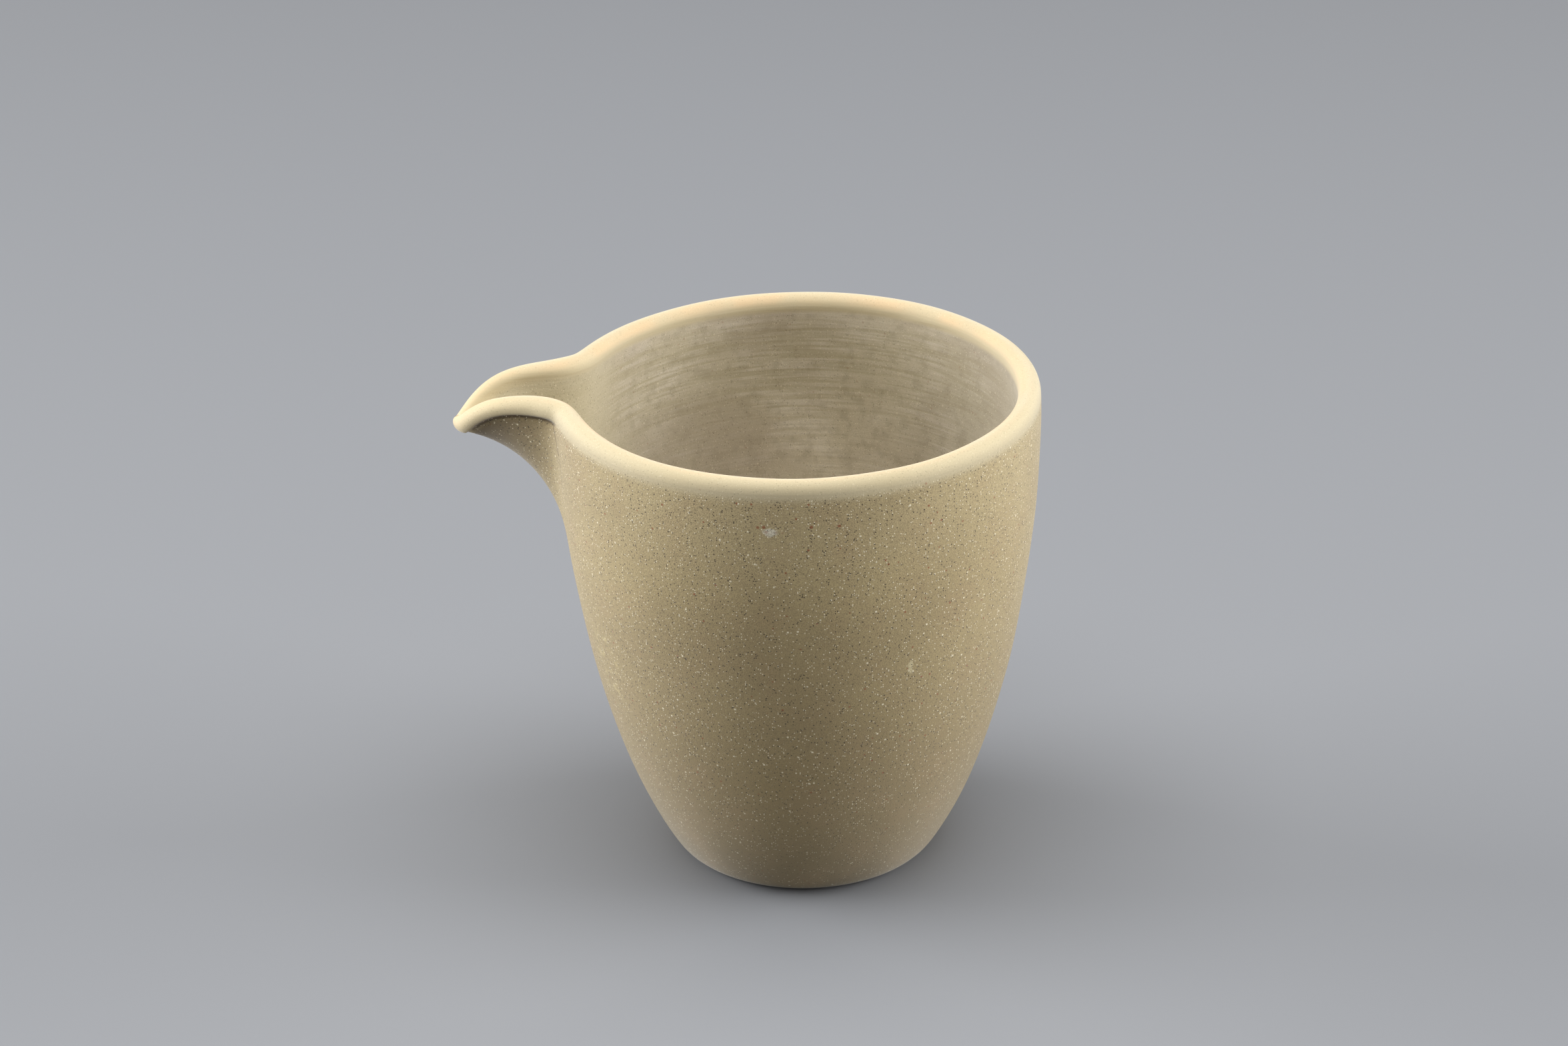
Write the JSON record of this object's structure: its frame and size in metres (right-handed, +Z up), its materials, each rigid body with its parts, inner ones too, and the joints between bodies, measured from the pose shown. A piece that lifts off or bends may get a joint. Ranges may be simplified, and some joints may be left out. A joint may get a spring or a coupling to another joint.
{
  "type": "tea pitcher",
  "caption": "Handleless clay tea pitcher: flared round vessel with an open mouth, rounded rim and a pulled pouring spout.",
  "frame": {"origin": "centre of the flat face that the pitcher stands on", "axes": "+Z up out of the mouth, -X towards the spout's tip, the spout symmetric about the XZ plane"},
  "size_m": [0.0925, 0.076, 0.08],
  "materials": {
    "sandy_clay": "unglazed fired sandy clay, matte",
    "base_clay": "unglazed fired sandy clay, matte, darker",
    "spout_clay": "unglazed fired sandy clay, smoothed, warm cream"
  },
  "bodies": {
    "root": {"vessel_wall": "sandy_clay", "base_disc": "base_clay", "pouring_spout": "spout_clay"}
  },
  "joints": []
}
